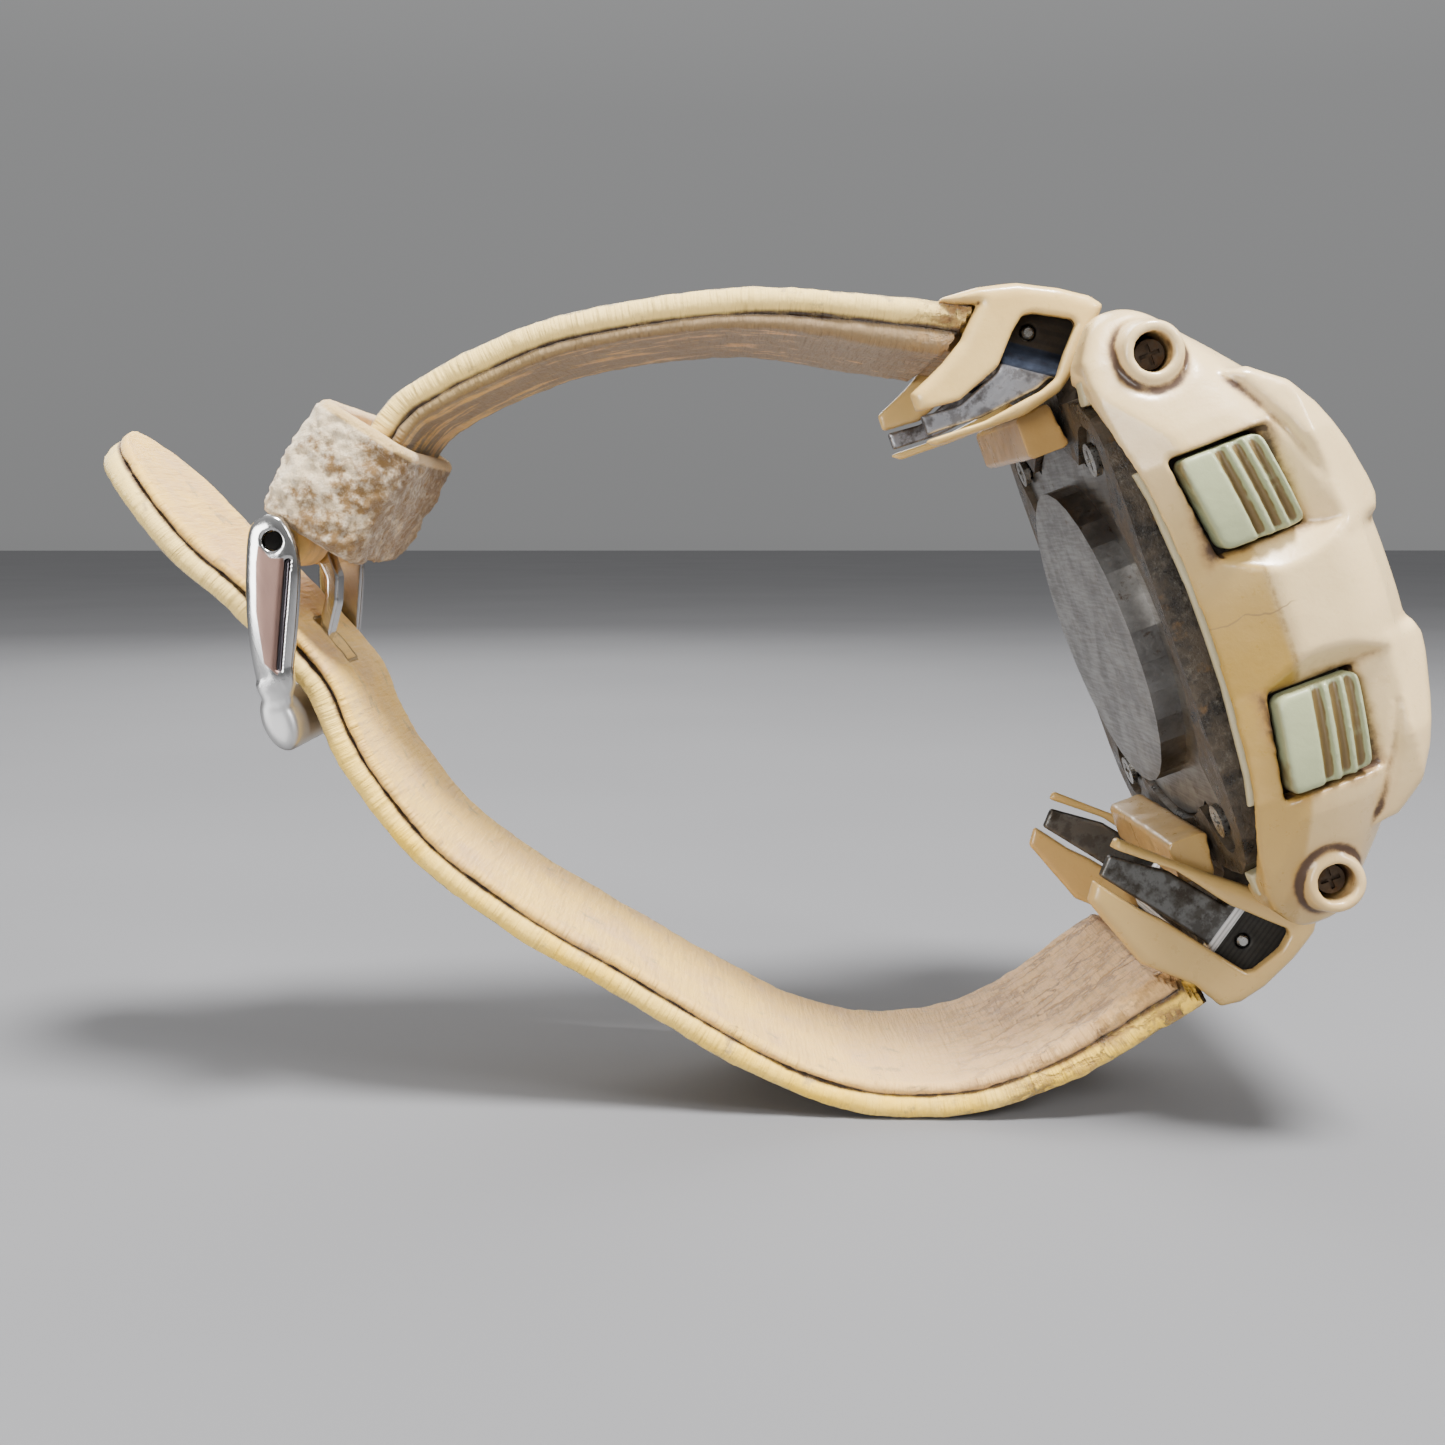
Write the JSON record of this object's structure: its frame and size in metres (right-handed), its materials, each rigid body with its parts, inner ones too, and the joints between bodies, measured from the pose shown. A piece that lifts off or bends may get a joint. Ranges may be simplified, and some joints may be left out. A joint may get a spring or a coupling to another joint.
{
  "type": "wrist dive computer",
  "caption": "Wrist dive computer: pushers in the resin bezel, steel back, hinged strap links, and a leather strap closed by a tongue buckle.",
  "frame": {"origin": "centre of the flat outer face of the steel case back", "axes": "+X out of the display, +Y towards three o'clock, +Z towards twelve o'clock, where the short strap with the buckle is fixed"},
  "size_m": [0.0946, 0.046, 0.0791],
  "materials": {
    "cream_resin": "glossy cream resin, yellowed and worn",
    "case_resin": "dark moulded resin, grimy",
    "pale_resin": "satin grey-green resin",
    "steel": "brushed steel",
    "dark_steel": "tarnished steel",
    "polished_steel": "polished steel",
    "strap_leather": "worn cream leather with cracks",
    "suede": "fluffy worn leather",
    "rubber": "black rubber",
    "glass": "clear crystal",
    "display": "reflective liquid crystal panel",
    "board": "solder-resist green",
    "black_plastic": "black moulded plastic",
    "white_plastic": "white moulded plastic"
  },
  "bodies": {
    "root": {"case_body": "case_resin", "case_back": "steel", "case_back_gasket": "rubber", "back_screw_nine_upper": "steel", "back_screw_nine_lower": "steel", "back_screw_three_upper": "steel", "back_screw_three_lower": "steel", "piezo_sounder": "steel", "battery": "steel", "battery_clip": "dark_steel", "module_holder": "white_plastic", "circuit_board": "board", "backlight_panel": "white_plastic", "zebra_connector_upper": "rubber", "zebra_connector_lower": "rubber", "lcd_panel": "display", "display_mask": "black_plastic", "crystal": "glass", "crystal_gasket": "rubber", "pressure_sensor": "steel", "sensor_cap": "steel", "bezel": "cream_resin", "guard_strip_nine": "pale_resin", "guard_strip_three": "pale_resin", "bezel_screw_nine_upper": "dark_steel", "bezel_screw_nine_lower": "dark_steel", "bezel_screw_three_upper": "dark_steel", "bezel_screw_three_lower": "dark_steel", "pusher_seal_nine_upper": "rubber", "pusher_spring_nine_upper": "steel", "pusher_seal_nine_lower": "rubber", "pusher_spring_nine_lower": "steel", "pusher_seal_three_upper": "rubber", "pusher_spring_three_upper": "steel", "pusher_seal_three_lower": "rubber", "pusher_spring_three_lower": "steel", "upper_end_tab": "cream_resin", "lower_end_tab": "cream_resin", "upper_strap": "strap_leather", "lower_strap": "strap_leather", "buckle_spring_bar": "polished_steel"},
    "pusher_nine_upper": {"pusher_nine_upper": "pale_resin", "pusher_clip_nine_upper": "steel"},
    "pusher_nine_lower": {"pusher_nine_lower": "pale_resin", "pusher_clip_nine_lower": "steel"},
    "pusher_three_upper": {"pusher_three_upper": "pale_resin", "pusher_clip_three_upper": "steel"},
    "pusher_three_lower": {"pusher_three_lower": "pale_resin", "pusher_clip_three_lower": "steel"},
    "upper_link": {"upper_link_cover": "cream_resin", "upper_link_clip": "dark_steel", "upper_link_pin": "steel"},
    "lower_link": {"lower_link_cover": "cream_resin", "lower_link_clip": "dark_steel", "lower_link_pin": "steel"},
    "tail": {"strap_tail": "strap_leather"},
    "keeper": {"strap_keeper": "suede"},
    "buckle": {"buckle_frame": "polished_steel"},
    "tongue": {"buckle_tongue": "polished_steel"}
  },
  "joints": [
    {"name": "pusher_nine_upper_press", "type": "slide", "parent": "root", "child": "pusher_nine_upper", "axis": [0, 1, 0], "range_m": [0, 0.0008], "stiffness_N_per_m": 800, "springref_m": -0.0005, "deforming": ["pusher_spring_nine_upper"]},
    {"name": "pusher_nine_lower_press", "type": "slide", "parent": "root", "child": "pusher_nine_lower", "axis": [0, 1, 0], "range_m": [0, 0.0008], "stiffness_N_per_m": 800, "springref_m": -0.0005, "deforming": ["pusher_spring_nine_lower"]},
    {"name": "pusher_three_upper_press", "type": "slide", "parent": "root", "child": "pusher_three_upper", "axis": [0, -1, 0], "range_m": [0, 0.0008], "stiffness_N_per_m": 800, "springref_m": -0.0005, "deforming": ["pusher_spring_three_upper"]},
    {"name": "pusher_three_lower_press", "type": "slide", "parent": "root", "child": "pusher_three_lower", "axis": [0, -1, 0], "range_m": [0, 0.0008], "stiffness_N_per_m": 800, "springref_m": -0.0005, "deforming": ["pusher_spring_three_lower"]},
    {"name": "upper_link_swing", "type": "hinge", "parent": "root", "child": "upper_link", "pos_m": [0.0008, 0, 0.0266], "axis": [0, 1, 0], "range_deg": [-1, 3]},
    {"name": "lower_link_swing", "type": "hinge", "parent": "root", "child": "lower_link", "pos_m": [0.0008, 0, -0.0266], "axis": [0, 1, 0], "range_deg": [-3, 3]},
    {"name": "tail_flex", "type": "hinge", "parent": "root", "child": "tail", "pos_m": [-0.0659, 0, 0.0286], "axis": [0, 1, 0], "range_deg": [-25, 15]},
    {"name": "keeper_slide", "type": "slide", "parent": "root", "child": "keeper", "axis": [0.8, 0, 0.6], "range_m": [0, 0.0018]},
    {"name": "buckle_swing", "type": "hinge", "parent": "root", "child": "buckle", "pos_m": [-0.0613, 0, 0.0328], "axis": [0, 1, 0], "range_deg": [-2, 3]},
    {"name": "tongue_swing", "type": "hinge", "parent": "root", "child": "tongue", "pos_m": [-0.0613, 0, 0.0328], "axis": [0, 1, 0], "range_deg": [-2, 3]}
  ],
  "couplings": [
    {"joint": "tongue_swing", "follows": "buckle_swing", "ratio": 1}
  ]
}
